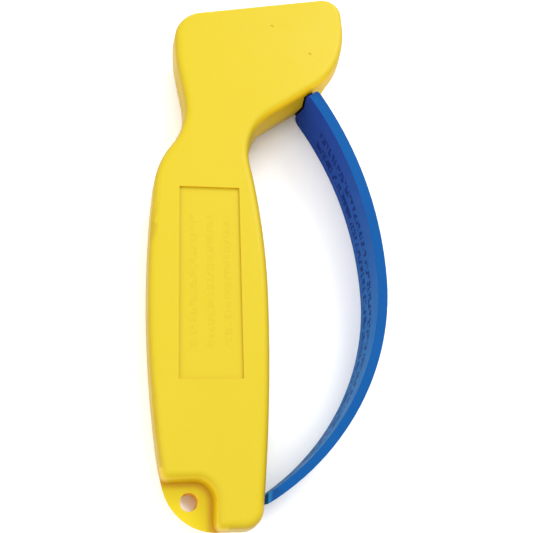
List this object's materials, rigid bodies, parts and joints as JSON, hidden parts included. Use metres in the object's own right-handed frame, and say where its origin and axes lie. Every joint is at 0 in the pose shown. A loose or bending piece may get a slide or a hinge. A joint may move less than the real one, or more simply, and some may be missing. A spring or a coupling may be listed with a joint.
{
  "type": "pull-through sharpener with finger guard",
  "caption": "Hand-held pull-through sharpener: yellow moulded handle with a hooked head, knife slot with crossed carbides, blue guard strap and a hanging ear.",
  "frame": {"origin": "bottom centre of the bounding box, on the plane of the rear face that the tool lies on", "axes": "+Z is the front face's normal, +Y runs along the handle to the head, +X runs from the handle to the finger guard"},
  "size_m": [0.0593, 0.1433, 0.016],
  "materials": {
    "front_housing": "satin moulded yellow plastic",
    "rear_cover": "satin moulded yellow plastic",
    "finger_guard": "satin flexible blue plastic",
    "blade_seat": "plain moulded nylon",
    "carbide": "ground tungsten carbide",
    "screws": "zinc-plated steel"
  },
  "bodies": {
    "root": {"front_housing": "front_housing", "rear_cover": "rear_cover", "finger_guard": "finger_guard", "blade_seat": "blade_seat", "front_carbide_blade": "carbide", "rear_carbide_blade": "carbide", "head_screws": "screws", "handle_screws": "screws"}
  },
  "joints": []
}
